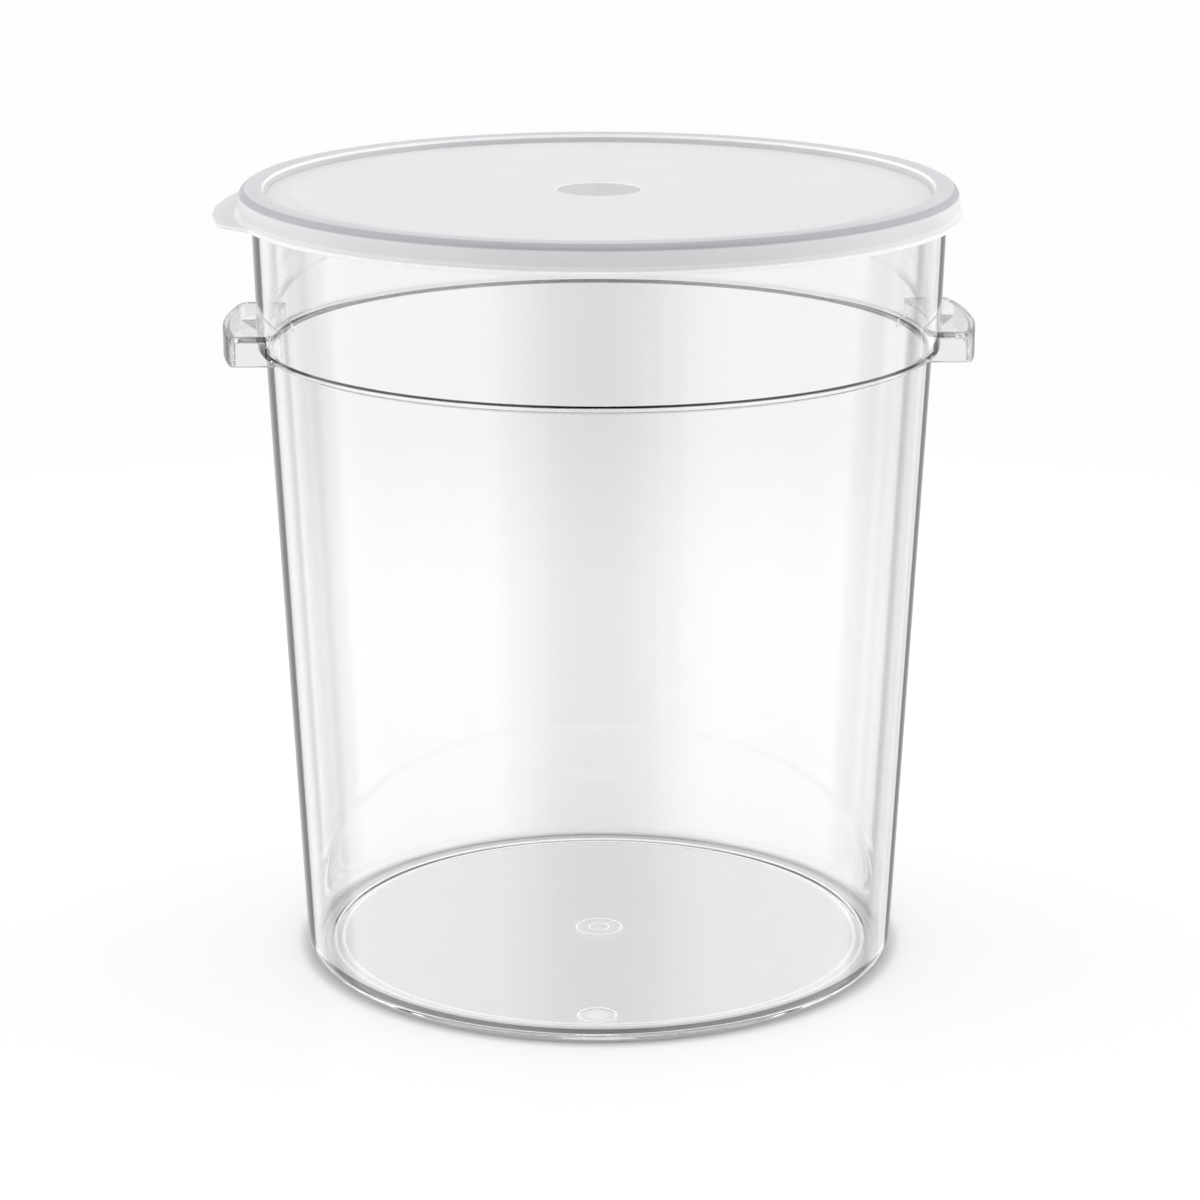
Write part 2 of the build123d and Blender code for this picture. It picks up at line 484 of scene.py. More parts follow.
@dataclass(frozen=True)
class SatinPolypropylene:
    """Natural polypropylene, injection moulded in a finely blasted mould.

    It gives the eye a milky, glowing white with a soft sheen. Painted shade greys it where the rim stands
    behind it, on the land, its outer edge and the upper skirt, and on the panel, moat and recess wall.
    Painted highlights lighten the disc's edge and the land's inner edge, and it has a smooth grey disc
    with a gate mark in the middle.

    Attributes:
        milky: Colour of the plastic.
        cloudy: What the clouds in the melt leave of that colour.
        rings: Rings of other shades, from the middle out: painted shade, painted highlights and the lid's
            own greys.
        disc_radius_mm: Radius of the smooth disc.
        cloud_mm: Size of the clouds.
        grain_mm: Size of the satin grain.
        grain_height_mm: Height of the satin grain.
        grain_span: Values of the grain's noise at its least and most roughness.
        detail: How many finer waves lie over the clouds and the grain.
        depth_mm: How far light wanders inside the plastic.
        ior: The plastic's own.
        satin: Least and most roughness of the satin.
        smooth: Roughness of the smooth disc.
    """

    milky: str = "efeff0"
    cloudy: str = "f8f8f9"
    # Rings over the milky colour: painted shade, painted highlights, the disc's and gate mark's own
    # greys, and a greyer tab
    rings: tuple[Ring, ...] = (
        # Painted shade: the panel and the moat a little greyer
        Ring(-1.0, 143.0, 0.8, "e0e0e1"),
        Ring(143.0, 153.9, 0.8, "dfdfe0"),
        # The smooth disc and the gate mark, greyer in their own colour
        Ring(-1.0, 19.5, 0.3, "c1c1c4"),
        Ring(-1.0, 1.0, 0.4, "a2a2a6"),
        # Painted highlight along the disc's edge
        Ring(19.7, 20.0, 0.2, "fafafa"),
        # Painted shade on the recess wall
        Ring(153.9, 155.3, 0.3, "d2d2d4"),
        # Painted highlight along the land's inner edge
        Ring(155.4, 155.9, 0.2, "fafafa"),
        # Painted shade on the land and, darker, its outer edge, where the rim stands behind them
        Ring(156.0, 164.2, 0.5, "d1d1d4"),
        Ring(164.4, 166.4, 0.6, "b0b0b4"),
        # Painted shade on the upper skirt, where the rim stands behind it
        Ring(166.6, 167.2, 0.2, "dadadc", 361.0),
        # The pull tab, a little greyer
        Ring(169.0, 180.0, 0.5, "dedee0"),
    )
    disc_radius_mm: float = 19.5
    cloud_mm: float = 60.0
    grain_mm: float = 0.8
    grain_height_mm: float = 0.006
    grain_span: tuple[float, float] = (0.3, 0.7)
    detail: float = 2.0
    depth_mm: float = 2.0
    ior: float = 1.49
    satin: tuple[float, float] = (0.36, 0.46)
    smooth: float = 0.22

    def build(self) -> bpy.types.Material:
        """Builds the material.

        Returns:
            The node material.
        """
        material, tree = new_material("satin_milky_polypropylene")
        place = add_node(tree, "TexCoord").outputs["Object"]
        flat = add_node(tree, "VectorMath", [place, (1, 1, 0)], operation="MULTIPLY")
        distance = add_node(tree, "VectorMath", [flat], operation="LENGTH").outputs["Value"]
        clouds, grain = [
            add_node(tree, "TexNoise", {"Vector": place, "Scale": scale, "Detail": self.detail})
            for scale in (1 / (self.cloud_mm * METRES), 1 / (self.grain_mm * METRES))
        ]
        height = add_node(tree, "SeparateXYZ", [place]).outputs["Z"]
        colour = linear(self.milky)
        # Each ring mixes in its grey: painted shade, a painted highlight or the lid's own grey
        for ring in self.rings:
            inside, outside = [
                add_node(
                    tree,
                    "MapRange",
                    [distance, edge * METRES, (edge + ring.soft) * METRES, first, 1.0 - first],
                )
                for edge, first in ((ring.inner - ring.soft, 0.0), (ring.outer, 1.0))
            ]
            above = add_node(tree, "Math", [height, ring.above * METRES], operation="GREATER_THAN")
            share = add_node(tree, "Math", [inside, outside], operation="MULTIPLY")
            share = add_node(tree, "Math", [share, above], operation="MULTIPLY")
            colour = add_node(
                tree, "Mix", {0: share, 6: colour, 7: linear(ring.shade)}, data_type="RGBA"
            ).outputs[2]
        colour = add_node(
            tree,
            "Mix",
            {0: clouds, 6: colour, 7: linear(self.cloudy)},
            data_type="RGBA",
            blend_type="MULTIPLY",
        ).outputs[2]
        in_disc = add_node(tree, "Math", [distance, self.disc_radius_mm * METRES], operation="LESS_THAN")
        satin = add_node(tree, "MapRange", [grain, *self.grain_span, *self.satin])
        sheen = add_node(tree, "Mix", {0: in_disc, 2: satin, 3: self.smooth}, data_type="FLOAT")
        relief = add_node(
            tree, "Bump", {"Height": grain, "Strength": 1.0, "Distance": self.grain_height_mm * METRES}
        )
        plastic = add_node(
            tree,
            "BsdfPrincipled",
            {
                "Base Color": colour,
                "Subsurface Weight": 1.0,
                "Subsurface Radius": (1.0, 1.0, 1.0),
                "Subsurface Scale": self.depth_mm * METRES,
                "IOR": self.ior,
                "Roughness": sheen,
                "Normal": relief,
            },
        )
        add_node(tree, "OutputMaterial", {"Surface": plastic})
        return material


@dataclass
class ContainerShell:
    """The clear moulding: wall, shoulder, rim, foot, floor and two handles.

    Its height and the handles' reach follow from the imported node's box, and
    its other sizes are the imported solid's. Small roundings are added to those.

    Attributes:
        handle_lap: How much shallower in the wall a pocket's faces end.
        handle_longest: Longest stretch of a handle's section left undivided.
        fillet_sunk: How far a fillet dips into what it joins.
        bead_insets: Distances of the foot's two beads inside its inner radius.
        bead_sunk_share: Share of a bead's rise by which its middle is sunk.
        disc_mark_frost: Share by which the round mark is clouded.
        columns: Columns of the wall once round.
        end_shares: Places of a handle end's columns, from the wall outwards.
        corner_columns: Columns of a handle's corner.
        arc_columns: Columns of a handle's outer and inner arcs.
        gusset_columns: Columns of a gusset's rounded tip.
        fillet_points: Points across the plate's fillet.
        fillet_columns: Sections along the plate's fillet.
        bead_points: Points round a bead's section.
        mark_columns: Least columns of a bead, and columns of the round mark.
        bead_columns_per_mm: Columns of a bead for a millimetre of its radius.
    """

    wall: float = 3.6
    base_radius: float = 141.9
    shoulder_radius: float = 155.9
    band_radius: float = 159.3
    mouth_radius: float = 161.4
    shoulder_height: float = 295.2
    shoulder_rise: float = 1.5
    ledge_thickness: float = 2.3
    lip_projection: float = 2.8
    lip_depth: float = 5.1
    lip_underside_slope: float = 0.8
    rim_rounding: float = 1.4
    base_corner_radius: float = 6.5
    foot_ring_width: float = 10.4
    foot_height: float = 0.8
    foot_flank: float = 4.4
    floor_thickness: float = 2.6
    floor_corner_radius: float = 5.0
    mark_depth: float = 0.4
    gate_ring_radius: float = 11.0
    gate_stub_radius: float = 4.8
    disc_mark_radius: float = 8.7
    disc_mark_inset: float = 17.6
    disc_mark_angle: float = -92.5
    handle_half_length: float = 44.0
    handle_drop: float = 1.9
    handle_depth: float = 14.0
    handle_plate: float = 2.6
    handle_skirt: float = 2.7
    handle_end_wall: float = 2.5
    handle_corner_radius: float = 2.5
    handle_edge_radius: float = 1.3
    handle_foot_rounding: float = 0.7
    handle_lap: float = 0.7
    gusset_reach: float = 7.4
    gusset_thickness: float = 2.4
    gusset_depth: float = 8.0
    gusset_fillet: float = 0.6
    handle_fillet: float = 1.8
    fillet_sunk: float = 0.06
    edge_rounding: float = 0.6
    bead_insets: tuple[float, float] = (2.2, 6.4)
    bead_width: float = 1.0
    fine_bead_width: float = 0.9
    bead_rise: float = 0.3
    bead_sunk_share: float = 0.25
    disc_mark_frost: float = 0.45
    handle_longest: float = 1.5
    columns: int = 384
    end_shares: tuple[float, ...] = (0.0, 0.3, 0.6, 0.85, 0.97)
    corner_columns: int = 8
    arc_columns: int = 56
    gusset_columns: int = 12
    fillet_points: int = 8
    fillet_columns: int = 48
    bead_points: int = 12
    mark_columns: int = 96
    bead_columns_per_mm: int = 2
    height: float = field(init=False)
    handle_radius: float = field(init=False)

    def __post_init__(self) -> None:
        """Takes the height and the handles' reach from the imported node."""
        _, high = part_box("container")
        self.height = round(high.z / METRES, 1)
        self.handle_radius = round(high.x / METRES, 1)

    @property
    def band_height(self) -> float:
        """Height of the shoulder's upper edge."""
        return self.shoulder_height + self.shoulder_rise

    @property
    def foot_inner_radius(self) -> float:
        """Radius where the foot ring's inner flank meets the table."""
        return self.base_radius - self.foot_ring_width

    @property
    def handle_top(self) -> float:
        """Height of the handles' top plates."""
        return self.shoulder_height - self.handle_drop + self.handle_depth

    def section(self) -> np.ndarray:
        """Section from the axis below the floor, round the rim, to the axis above.

        Returns:
            Rows of distance, height and swell.
        """
        lip_radius = self.mouth_radius + self.lip_projection
        lip_bottom = self.height - self.lip_depth
        floor_top = self.foot_height + self.floor_thickness
        mark_top = self.foot_height + self.mark_depth
        edge = self.edge_rounding
        small = self.mark_depth / 2
        corners = [
            Corner(0, self.foot_height),
            Corner(self.gate_stub_radius, self.foot_height, small),
            Corner(self.gate_stub_radius, mark_top, small),
            Corner(self.gate_ring_radius, mark_top, small),
            Corner(self.gate_ring_radius, self.foot_height, small),
            Corner(self.foot_inner_radius - self.foot_flank, self.foot_height, edge),
            Corner(self.foot_inner_radius, 0, edge),
            Corner(self.base_radius, 0, self.base_corner_radius),
            Corner(self.shoulder_radius, self.shoulder_height, edge),
            Corner(self.band_radius, self.band_height, edge),
            Corner(self.mouth_radius, lip_bottom, edge / 2),
            Corner(lip_radius, lip_bottom + self.lip_underside_slope, edge),
            Corner(lip_radius, self.height, self.rim_rounding),
            Corner(self.mouth_radius - self.wall, self.height, self.rim_rounding),
            Corner(self.band_radius - self.wall, self.band_height + self.ledge_thickness, edge),
            Corner(self.shoulder_radius - self.wall, self.shoulder_height + self.ledge_thickness, edge),
            Corner(self.base_radius - self.wall, floor_top, self.floor_corner_radius),
            Corner(0, floor_top),
        ]
        return rounded(corners)

    def wall_middle(self, height: np.ndarray) -> np.ndarray:
        """Radius inside the wall's plastic beside the handles.

        It runs straight from the wall's middle below the shoulder to the
        middle above it, and passes between the shoulder's two faces.

        Args:
            height: Heights above the table.

        Returns:
            The radius at each height.
        """
        heights = [self.shoulder_height, self.band_height, self.band_height + self.ledge_thickness]
        half = self.wall / 2
        radii = [self.shoulder_radius - half, self.shoulder_radius, self.band_radius - half]
        return np.interp(height, heights, radii)

    def handle_rings(self) -> np.ndarray:
        """Rings of one handle, from the pocket's ceiling round the rim to the plate.

        Each ring is the handle's plan drawn in by the section's inset d: an
        arc of radius R - d, two straight ends at y = plus and minus L - d,
        corner arcs between them, and an arc back inside the wall.

        Returns:
            Array of rings, by points in a ring, by three.
        """
        bottom = self.shoulder_height - self.handle_drop
        ceiling = self.handle_top - self.handle_plate
        section = rounded(
            [
                Corner(2 * self.handle_skirt, ceiling),
                Corner(self.handle_skirt, ceiling, self.edge_rounding),
                Corner(self.handle_skirt, bottom, self.handle_foot_rounding),
                Corner(0, bottom, self.handle_foot_rounding),
                Corner(0, self.handle_top, self.handle_edge_radius),
                Corner(2 * self.handle_edge_radius, self.handle_top),
            ],
            longest=self.handle_longest,
        )
        inset, height = section[:, :1], section[:, 1:2]
        outer = self.handle_radius - inset
        end = self.handle_half_length - inset * self.handle_end_wall / self.handle_skirt
        corner = np.maximum(self.handle_corner_radius - inset, self.edge_rounding)
        lap = self.handle_lap * np.minimum(inset / self.handle_skirt, 1)
        inner = self.wall_middle(height) + lap
        corner_x = np.sqrt((outer - corner) ** 2 - (end - corner) ** 2)
        corner_angle = np.arctan2(end - corner, corner_x)
        inner_x = np.sqrt(inner**2 - end**2)
        inner_angle = np.arcsin(end / inner)
        side = np.array(self.end_shares)
        share = np.linspace(0, 1, self.corner_columns, endpoint=False)
        around = np.linspace(0, 1, self.arc_columns, endpoint=False)
        first = -np.pi / 2 + share * (np.pi / 2 - corner_angle)
        sweep = corner_angle * (2 * around - 1)
        last = corner_angle + share * (np.pi / 2 - corner_angle)
        back = inner_angle * (1 - 2 * around)
        across = [
            inner_x + side * (corner_x - inner_x),
            corner_x + corner * np.cos(first),
            outer * np.cos(sweep),
            corner_x + corner * np.cos(last),
            corner_x + (1 - side[::-1]) * (inner_x - corner_x),
            inner * np.cos(back),
        ]
        along = [
            -end + 0 * side,
            -(end - corner) + corner * np.sin(first),
            outer * np.sin(sweep),
            end - corner + corner * np.sin(last),
            end + 0 * side,
            inner * np.sin(back),
        ]
        x = np.hstack(across)
        return np.stack([x, np.hstack(along), np.broadcast_to(height, x.shape)], axis=-1)

    def gusset_rings(self) -> np.ndarray:
        """Rings of one gusset: a thin rounded bar from inside the wall, under the plate.

        Its plan is a bar from the wall to a tip with two rounded corners. The
        section's inset draws in the tip by as much, and the two sides by the
        same share of half the thickness.

        Returns:
            Array of rings, by points in a ring, by three.
        """
        ceiling = self.handle_top - self.handle_plate
        reach = self.band_radius + self.gusset_reach
        root = self.band_radius - self.wall / 2 - self.edge_rounding
        half = self.gusset_thickness / 2
        section = rounded(
            [
                Corner(half, ceiling - self.gusset_depth),
                Corner(0, ceiling - self.gusset_depth, self.edge_rounding / 2),
                Corner(0, ceiling + self.fillet_sunk, self.gusset_fillet),
                Corner(-self.gusset_fillet - self.fillet_sunk, ceiling + self.fillet_sunk),
                Corner(-self.gusset_fillet, ceiling + self.handle_plate / 2),
                Corner(half / 2, ceiling + self.handle_plate / 2),
            ]
        )[1:]
        inset, height = section[:, :1], section[:, 1:2]
        turn = np.linspace(-np.pi / 2, np.pi / 2, self.gusset_columns)
        rounding = self.edge_rounding
        square = np.sign(np.sin(turn)) * (half - rounding)
        along = np.hstack([-half, square + rounding * np.sin(turn), half])
        across = np.hstack([root, reach - rounding + rounding * np.cos(turn), root])
        x = across - inset * (across > root)
        y = along * (1 - inset / half)
        return np.stack([x, y, np.broadcast_to(height, x.shape)], axis=-1)

    def plate_fillet(self) -> np.ndarray:
        """Rings of the fillet between the wall and one handle's plate.

        Its section is the corner between wall and plate, less a circle of
        radius f whose centre lies f from both. It follows the wall's arc.

        Returns:
            Array of sections, by points in a section, by three.
        """
        reach = self.handle_fillet
        turn = np.linspace(np.pi / 2, 0, self.fillet_points)
        out = np.concatenate([[-1, -1], (1 - (1 + self.fillet_sunk) * np.sin(turn)), [1]])
        up = np.concatenate([[-1, 1], (1 - (1 + self.fillet_sunk) * np.cos(turn)), [-1]])
        climb = (self.handle_top - self.band_height) / (self.height - self.lip_depth - self.band_height)
        radius = self.band_radius + climb * (self.mouth_radius - self.band_radius)
        half_angle = np.arcsin((self.handle_half_length - reach) / radius)
        angles = np.linspace(-half_angle, half_angle, self.fillet_columns)[:, None]
        distance = radius + reach * out
        height = np.broadcast_to(self.handle_top + reach * up, (len(angles), len(up)))
        return np.stack([distance * np.cos(angles), distance * np.sin(angles), height], axis=-1)

    def build(self) -> bpy.types.Object:
        """Builds the moulding, dresses it and ties it to the container body.

        Returns:
            The finished object.
        """
        angles = once_round(self.columns, -np.pi)
        section = self.section()
        ends = [(0, 0, section[0, 1]), (0, 0, section[-1, 1])]
        shell = write_mesh("container_shell", *closed_skin(turned(section[1:-1], angles), *ends))
        handle, gusset, fillet = self.handle_rings(), self.gusset_rings(), self.plate_fillet()
        middle = (self.band_radius + self.handle_radius) / 2
        extras = []
        for side in (1, -1):
            turn = np.array([side, side, 1])
            loops = handle * turn
            ends = [np.array([middle, 0, h]) * turn for h in (loops[0, 0, 2], loops[-1, 0, 2])]
            extras.append(write_mesh("handle", *closed_skin(loops, *ends)))
            for name, rings in (("gusset", gusset * turn), ("fillet", fillet * turn)):
                ends = [rings[0].mean(axis=0), rings[-1].mean(axis=0)]
                extras.append(write_mesh(name, *closed_skin(rings, *ends)))
        combine(shell, [*extras, *self.floor_beads()], Join.ADD)
        combine(shell, [self.disc_mark()], Join.CUT)
        shade(shell)
        shell.data.materials.append(PolishedPolycarbonate(scuffs=self.scuffs()).build())
        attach(shell, "container")
        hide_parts("container")
        log.info("container_shell: %d faces", len(shell.data.polygons))
        return shell

    @property
    def disc_mark_middle(self) -> tuple[float, float]:
        """Place of the round mark near the foot.

        Returns:
            Its middle's x and y.
        """
        distance = self.foot_inner_radius - self.disc_mark_inset
        angle = np.radians(self.disc_mark_angle)
        return float(distance * np.cos(angle)), float(distance * np.sin(angle))

    def bead_rows(self) -> list[tuple[float, float, tuple[float, float]]]:
        """Lists the frosted beads on the floor.

        Returns:
            Radius, width and middle of each.
        """
        fine, centre = self.fine_bead_width, (0.0, 0.0)
        rows = [(self.foot_inner_radius - inset, self.bead_width, centre) for inset in self.bead_insets]
        rows += [(self.gate_ring_radius, fine, centre), (self.gate_stub_radius, fine, centre)]
        return [*rows, (self.disc_mark_radius, fine, self.disc_mark_middle)]

    def floor_beads(self) -> list[bpy.types.Object]:
        """Fine beads on the floor, over the foot, the gate and the round mark.

        A bead's section is an ellipse that lies a little inside the floor: at
        angle t its points are at distance R + w / 2 cos t and height h sin t.

        Returns:
            One closed solid for each bead.
        """
        floor_top = self.foot_height + self.floor_thickness
        turn = once_round(self.bead_points)
        height = floor_top + self.bead_rise * (np.sin(turn) - self.bead_sunk_share)
        solids = []
        for radius, width, middle in self.bead_rows():
            section = np.column_stack([radius + width / 2 * np.cos(turn), height, 0 * turn])
            columns = max(self.mark_columns, self.bead_columns_per_mm * int(radius))
            rings = turned(section, once_round(columns)) + (*middle, 0)
            starts = np.arange(len(section)) * columns
            faces = quads_between(starts, np.roll(starts, -1), columns)
            solids.append(write_mesh("floor_bead", rings.reshape(-1, 3), faces))
        return solids

    def scuffs(self) -> tuple[Scuff, ...]:
        """Frosts a circle along each bead, and the round mark more lightly.

        Returns:
            The circles and the disc.
        """
        circles = [Scuff(radius, width, 1.0, *middle) for radius, width, middle in self.bead_rows()]
        disc = Scuff(0.0, self.disc_mark_radius, self.disc_mark_frost, *self.disc_mark_middle)
        return (*circles, disc)

    def disc_mark(self) -> bpy.types.Object:
        """Makes the solid that cuts the round mark into the underside.

        Returns:
            The closed solid.
        """
        top = self.foot_height + self.mark_depth
        section = rounded(
            [
                Corner(0, self.foot_height / 2),
                Corner(self.disc_mark_radius, self.foot_height / 2),
                Corner(self.disc_mark_radius, top, self.mark_depth / 2),
                Corner(0, top),
            ]
        )
        rings = turned(section[1:-1], once_round(self.mark_columns))
        offset = np.array([*self.disc_mark_middle, 0])
        ends = [offset + (0, 0, section[0, 1]), offset + (0, 0, section[-1, 1])]
        return write_mesh("disc_mark", *closed_skin(rings + offset, *ends))


@dataclass
class LidShell:
    """The milky moulding: panel, land, snap skirt, flange and pull tab.

    It sits on the container's rim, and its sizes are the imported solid's. Small
    edge roundings, the land's crown and the soft corners of the tab are added,
    and the land's outer corner is a little rounder.

    Attributes:
        tab_blur: Half the width of the window that softens the tab's corners.
        arc_points: Points on each arc of the section.
        tab_span: Degrees to each side of the tab where columns stand closer.
        tab_step: Degrees between those columns.
        column_step: Degrees between the other columns.
    """

    finish: SatinPolypropylene
    container: ContainerShell
    wall: float = 1.6
    depth: float = 13.9
    corner_radius: float = 5.2
    plug_clearance: float = 0.5
    skirt_clearance: float = 0.9
    skirt_draft: float = 0.2
    bead_height: float = 0.6
    bead_width: float = 2.8
    bead_gap: float = 0.4
    flange_width: float = 1.8
    recess_depth: float = 3.6
    recess_slope: float = 1.1
    moat_depth: float = 0.8
    moat_width: float = 11.5
    moat_slope: float = 1.6
    disc_radius: float = 19.5
    disc_depth: float = 0.4
    tab_reach: float = 10.2
    tab_angle: float = 174.0
    tab_tip_half_angle: float = 19.5
    tab_root_half_angle: float = 25.1
    tab_blur: float = 1.4
    crown_width: float = 3.4
    crown_fall: float = 0.6
    crown_radius: float = 8.0
    edge_rounding: float = 0.5
    arc_points: int = 6
    tab_span: float = 30.0
    tab_step: float = 0.4
    column_step: float = 0.8

    def growth(self, angles: np.ndarray) -> np.ndarray:
        """Growth of the flange into the tab, in millimetres.

        The tab's outline is a trapezoid in angle and reach, averaged over a
        window of plus and minus the blur. With A(s) the area under a ramp that
        climbs from 0 to 1 as s does, the average is A(s + w) - A(s - w) over
        2 w, where s is the place on the tab's flank and w the blur's share.

        Args:
            angles: Angles in radians.

        Returns:
            The growth at each angle.
        """
        away = np.degrees(np.angle(np.exp(1j * (angles - np.radians(self.tab_angle)))))
        flank = self.tab_root_half_angle - self.tab_tip_half_angle
        place = (self.tab_root_half_angle - np.abs(away)) / flank
        blur = self.tab_blur / flank
        after, before = [
            np.where(s < 1, np.clip(s, 0, 1) ** 2 / 2, s - 0.5) for s in (place + blur, place - blur)
        ]
        return self.tab_reach * (after - before) / (2 * blur)

    def section(self) -> np.ndarray:
        """Section from the axis under the panel, round the skirt, to the axis above.

        Returns:
            Rows of distance, height and swell.
        """
        rim = self.container.height
        top = rim + self.wall
        bottom = top - self.depth
        skirt_inner = self.container.mouth_radius + self.container.lip_projection + self.skirt_clearance
        radius = skirt_inner + self.wall
        flange = radius + self.skirt_draft + self.flange_width
        plug = self.container.mouth_radius - self.container.wall - self.plug_clearance
        land = plug - self.wall
        panel = top - self.recess_depth
        moat = panel - self.moat_depth
        foot = land - self.recess_slope
        moat_inner = foot - self.moat_width
        bead_top = rim - self.container.lip_depth - self.bead_gap
        edge = self.edge_rounding
        corners = [
            Corner(0, panel - self.wall),
            Corner(moat_inner - self.moat_slope, panel - self.wall, edge),
            Corner(moat_inner, moat - self.wall, edge),
            Corner(plug - self.recess_slope, moat - self.wall, 2 * edge),
            Corner(plug, rim, edge),
            Corner(skirt_inner, rim, self.container.rim_rounding),
            Corner(skirt_inner, bead_top, edge),
            Corner(skirt_inner - self.bead_height, bead_top - self.bead_width / 2, edge),
            Corner(skirt_inner, bead_top - self.bead_width, edge),
            Corner(skirt_inner + self.skirt_draft, bottom, edge),
            Corner(flange, bottom, edge, 1.0),
            Corner(flange, bottom + self.wall, edge, 1.0),
            Corner(radius + self.skirt_draft, bottom + self.wall, edge),
            Corner(radius, top, self.corner_radius),
            Corner(land + self.crown_width, top, self.crown_radius),
            Corner(land, top - self.crown_fall, edge),
            Corner(foot, moat, 2 * edge),
            Corner(moat_inner, moat, 2 * edge),
            Corner(moat_inner - self.moat_slope, panel, 2 * edge),
            Corner(self.disc_radius + self.disc_depth, panel, edge / 2),
            Corner(self.disc_radius, panel - self.disc_depth, edge / 2),
            Corner(0, panel - self.disc_depth),
        ]
        return rounded(corners, self.arc_points)

    def build(self) -> bpy.types.Object:
        """Builds the moulding, dresses it and ties it to the lid body.

        Returns:
            The finished object.
        """
        near = np.arange(-self.tab_span, self.tab_span, self.tab_step)
        far = np.arange(self.tab_span, 360 - self.tab_span, self.column_step)
        angles = np.radians(np.concatenate([near, far]) + self.tab_angle)
        section = self.section()
        rings = turned(section[1:-1], angles, self.growth(angles))
        ends = [(0, 0, section[0, 1]), (0, 0, section[-1, 1])]
        shell = write_mesh("lid_shell", *closed_skin(rings, *ends))
        shade(shell)
        shell.data.materials.append(self.finish.build())
        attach(shell, "lid")
        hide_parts("lid")
        log.info("lid_shell: %d faces", len(shell.data.polygons))
        return shell


@dataclass(frozen=True)
class Climb:
    """A soft climb to a level of light, between two elevations in degrees."""

    first: float
    last: float
    level: Any


